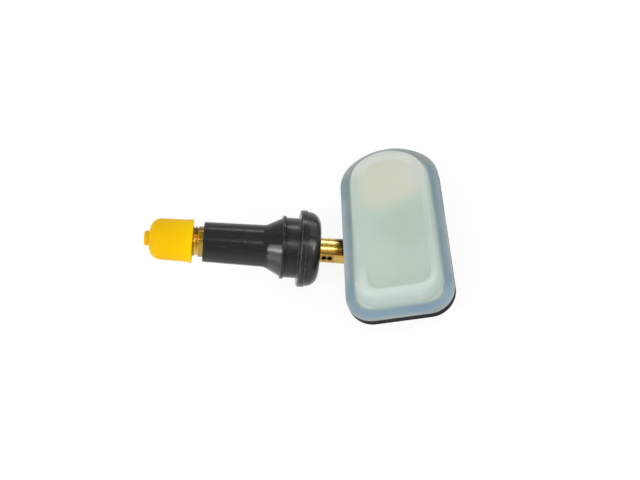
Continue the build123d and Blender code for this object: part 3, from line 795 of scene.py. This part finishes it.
def plated(name, dark, light, roughness, grain):
    """Bare or plated metal with a fine grain."""
    finish = Finish(name, roughness, metallic=1.0)
    finish.set("Base Color", finish.ramp(finish.noise(grain * 4), [(0.3, dark), (0.7, light)]))
    finish.set("Roughness", finish.span(
        finish.noise(grain * 2), 0.3, 0.7, roughness - 0.06, roughness + 0.08
    ))
    finish.bump((finish.noise(grain), 0.006))
    return finish


def moulded(name, dark, light, roughness, grain):
    """Matt moulded, sintered or fired surface."""
    finish = Finish(name, roughness, specular=0.4)
    finish.set("Base Color", finish.ramp(finish.noise(grain * 3), [(0.3, dark), (0.7, light)]))
    finish.bump((finish.noise(grain), 0.01))
    return finish


finishes = {
    "cap_yellow": cap_yellow(),
    "grommet_rubber": grommet_rubber(),
    "seal_rubber": seal_rubber(),
    "brass": brass(),
    "housing_black": housing_black(),
    "cover_milky": cover_milky(),
    "board_green": board_green(),
    "cell_case": plated("cell_case", srgb(168, 170, 172), srgb(206, 207, 206), 0.3, 0.3),
    "steel": plated("steel", srgb(140, 142, 146), srgb(190, 191, 192), 0.32, 0.25),
    "copper": plated("copper", srgb(170, 84, 46), srgb(214, 128, 84), 0.3, 0.2),
    "chip_black": moulded("chip_black", srgb(24, 24, 26), srgb(42, 42, 44), 0.6, 0.15),
    "ferrite": moulded("ferrite", srgb(42, 42, 46), srgb(66, 66, 70), 0.55, 0.12),
    "ceramic": moulded("ceramic", srgb(160, 124, 90), srgb(190, 154, 116), 0.5, 0.12),
}
for part in record["subparts"]:
    materials = nodes[part["node"]].data.materials
    materials.clear()
    materials.append(finishes[part["material_slot"]].material)


# Pieces that the solids leave out
def add_piece(name, mesh, body, slot):
    """Links a mesh in the part's frame as a piece of the object."""
    piece = bpy.data.objects.new(name, mesh)
    bpy.context.scene.collection.objects.link(piece)
    mesh.materials.append(finishes[slot].material)
    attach(piece, body)
    return piece


def swept(name, sections, sharp=True):
    """Mesh through equal rings of points, closed at both ends, with sharp or soft long edges."""
    bm = bmesh.new()
    rings = [[bm.verts.new(point) for point in section] for section in sections]
    for one, two in zip(rings, rings[1:]):
        for index in range(len(one)):
            after = (index + 1) % len(one)
            face = bm.faces.new((one[index], one[after], two[after], two[index]))
            face.smooth = True
    bm.faces.new(reversed(rings[0]))
    bm.faces.new(rings[-1])
    bmesh.ops.recalc_face_normals(bm, faces=bm.faces)
    for one, two in zip(rings, rings[1:]):
        for start, end in zip(one, two):
            bm.edges.get((start, end)).smooth = not sharp
    mesh = bpy.data.meshes.new(name)
    bm.to_mesh(mesh)
    bm.free()
    return mesh


def thread(name, body, slot, first, last, foot, depth, pitch, phase=0.0):
    """Helical ridge from station first to last. A negative depth makes an inner thread."""
    outward = 1 if depth > 0 else -1
    height = abs(depth)
    half_crest = thread_crest / 2
    half_foot = half_crest + height * tan(radians(thread_half_angle))
    turns = (last - first - 2 * half_foot) / pitch
    count = int(turns * steps_per_turn)
    sections = []
    for step in range(count + 1):
        turned = step / steps_per_turn
        left = (count - step) / steps_per_turn
        fade = min(1.0, turned / thread_fade, left / thread_fade)
        angle = 2 * pi * turned + phase
        middle = first + half_foot + pitch * turned
        crest = foot + outward * height * fade
        base = foot - outward * thread_sink
        sections.append([
            around_stem(middle - half_foot, base, angle),
            around_stem(middle - half_crest, crest, angle),
            around_stem(middle + half_crest, crest, angle),
            around_stem(middle + half_foot, base, angle),
        ])
    return add_piece(name, swept(name, sections), body, slot)


def coil(name, body, slot, first, last):
    """Valve spring of round wire from station first to last."""
    count = spring_turns * spring_steps_per_turn
    rise = last - first - 2 * spring_wire_radius
    ways = [2 * pi * side / spring_wire_sides for side in range(spring_wire_sides)]
    sections = []
    for step in range(count + 1):
        angle = 2 * pi * step / spring_steps_per_turn
        middle = first + spring_wire_radius + rise * step / count
        sections.append([
            around_stem(
                middle + spring_wire_radius * sin(way),
                spring_radius + spring_wire_radius * cos(way),
                angle,
            )
            for way in ways
        ])
    return add_piece(name, swept(name, sections, sharp=False), body, slot)


def surface_tree(node):
    """Search tree of a node's surface, for surface_radius."""
    return BVHTree.FromObject(nodes[node], bpy.context.evaluated_depsgraph_get())


def surface_radius(tree, station, angle):
    """How far out a node's surface lies at a station and angle around the stem."""
    reach = 30.0  # further out than any surface on the stem
    start = around_stem(station, reach, angle)
    inward = (around_stem(station, 0, angle) - start).normalized()
    hit = tree.ray_cast(start, inward)
    return reach - hit[3] / MM


def seam(name, tree, first, last, angle):
    """Low mould seam that follows the rubber's outline along the stem."""
    sections = []
    count = int((last - first) / seam_step)
    for step in range(count + 1):
        station = first + (last - first) * step / count
        radius = surface_radius(tree, station, angle)
        swing = seam_width / 2 / radius
        fade = min(1.0, step / seam_fade, (count - step) / seam_fade)
        sections.append([
            around_stem(station, radius - seam_height, angle - swing),
            around_stem(station, radius + seam_height * fade, angle - swing / 3),
            around_stem(station, radius + seam_height * fade, angle + swing / 3),
            around_stem(station, radius - seam_height, angle + swing),
        ])
    return add_piece(name, swept(name, sections), "sensor", "grommet_rubber")


thread_root = surface_radius(surface_tree("valve_stem"), (collar_tip + stem_tip) / 2, 0.0)
thread(
    "valve_thread", "sensor", "brass",
    first=collar_tip,
    last=stem_tip - thread_run_in,
    foot=thread_root,
    depth=valve_thread_depth,
    pitch=valve_thread_pitch,
)
cap_thread_first = cap_rim + thread_run_in
half_pitch_behind = 2 * pi * (cap_thread_first - collar_tip) / valve_thread_pitch + pi
thread(
    "cap_thread", "cap", "cap_yellow",
    first=cap_thread_first,
    last=seal_start,
    foot=thread_root + valve_thread_depth + cap_thread_clearance,
    depth=-cap_thread_depth,
    pitch=valve_thread_pitch,
    phase=half_pitch_behind,
)
thread(
    "core_chamber_thread", "sensor", "brass",
    first=barrel_top + core_thread_run_in,
    last=stem_tip - core_thread_run_in,
    foot=core_chamber_radius,
    depth=-core_thread_depth,
    pitch=core_thread_pitch,
)
spring_first, spring_last = stations("core_spring")
spring = coil("core_spring_coil", "sensor", "steel", spring_first, spring_last - spring_play)
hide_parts("core_spring")
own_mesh(spring)
rubber_tree = surface_tree("rubber_grommet")
for side, seam_angle in enumerate((0.0, pi), start=1):
    seam(f"sleeve_seam_{side}", rubber_tree, cone_end, rubber_tip - seam_margin, seam_angle)


# Studio around the object
def seen_directly(tree):
    """1 for rays from the camera, a mirror or glass, and 0 for rays that only light things."""
    path = add_node(tree, "ShaderNodeLightPath")
    seen = path.outputs["Is Camera Ray"]
    for ray in ("Is Glossy Ray", "Is Transmission Ray"):
        rays = {0: seen, 1: path.outputs[ray]}
        seen = add_node(tree, "ShaderNodeMath", rays, operation="MAXIMUM").outputs[0]
    return seen


def add_floor():
    """Pale floor under the object, white to the camera but for the object's soft shadow."""
    half = floor_size / 2 * MM
    mesh = bpy.data.meshes.new("floor")
    corners = [(-half, -half), (half, -half), (half, half), (-half, half)]
    mesh.from_pydata([(x, y, cad_box[0][2]) for x, y in corners], [], [(0, 1, 2, 3)])
    floor = bpy.data.objects.new("floor", mesh)
    bpy.context.scene.collection.objects.link(floor)
    material = bpy.data.materials.new("floor")
    material.use_nodes = True
    tree = material.node_tree
    tree.nodes.remove(tree.nodes["Principled BSDF"])
    paper = add_node(tree, "ShaderNodeBsdfDiffuse", {"Color": grey(floor_bounce)})
    shaded = add_node(tree, "ShaderNodeBsdfDiffuse", {"Color": grey(floor_shade)})
    glow = add_node(tree, "ShaderNodeEmission", {"Color": grey(1.0), "Strength": floor_glow})
    white = add_node(tree, "ShaderNodeAddShader", {0: shaded.outputs[0], 1: glow.outputs[0]})
    shaders = {0: seen_directly(tree), 1: paper.outputs[0], 2: white.outputs[0]}
    mixed = add_node(tree, "ShaderNodeMixShader", shaders)
    tree.links.new(mixed.outputs[0], tree.nodes["Material Output"].inputs["Surface"])
    mesh.materials.append(material)


def add_world():
    """Even white surroundings that light the object less than they show."""
    world = bpy.data.worlds.new("studio")
    world.use_nodes = True
    tree = world.node_tree
    background = tree.nodes["Background"]
    background.inputs["Color"].default_value = grey(1.0)
    strengths = {"Value": seen_directly(tree), "To Min": world_strength, "To Max": 1.0}
    strength = add_node(tree, "ShaderNodeMapRange", strengths)
    tree.links.new(strength.outputs["Result"], background.inputs["Strength"])
    bpy.context.scene.world = world


def add_lamp(name, direction, size, power):
    """Square softbox that faces the rim seat from a direction."""
    lamp = bpy.data.lights.new(name, "AREA")
    lamp.size = size * MM
    lamp.energy = power
    piece = bpy.data.objects.new(name, lamp)
    bpy.context.scene.collection.objects.link(piece)
    towards = Vector(direction).normalized()
    piece.location = towards * lamp_distance * MM
    piece.rotation_euler = towards.to_track_quat("Z", "Y").to_euler()


def add_camera():
    """Camera that sees the object as the photograph does."""
    azimuth, elevation = radians(view_azimuth), radians(view_elevation)
    back = Vector((
        sin(azimuth) * cos(elevation), -cos(azimuth) * cos(elevation), sin(elevation)
    ))
    level = Vector((cos(azimuth), sin(azimuth), 0))
    upright = back.cross(level)
    roll = radians(view_roll)
    right = level * cos(roll) - upright * sin(roll)
    up = back.cross(right)
    data = bpy.data.cameras.new("camera")
    data.lens = focal_length
    data.sensor_width = sensor_width
    data.clip_start = view_start * MM
    camera = bpy.data.objects.new("camera", data)
    bpy.context.scene.collection.objects.link(camera)
    turn = Matrix((right, up, back)).transposed().to_4x4()
    place = back * view_distance + right * view_right + up * view_up
    camera.matrix_world = Matrix.Translation(place * MM) @ turn
    bpy.context.scene.camera = camera


add_floor()
add_world()
add_lamp("top_lamp", (0.3, -0.15, 0.94), size=90.0, power=0.24)
add_lamp("back_lamp", (0.25, 0.87, 0.42), size=120.0, power=0.4)
add_lamp("left_lamp", (-0.65, -0.37, 0.66), size=120.0, power=1.15)
add_lamp("front_lamp", (-0.77, -0.6, 0.22), size=240.0, power=0.7)
add_lamp("right_lamp", (0.9, -0.29, 0.36), size=90.0, power=1.0)
add_camera()
bpy.context.scene.view_settings.view_transform = "Standard"
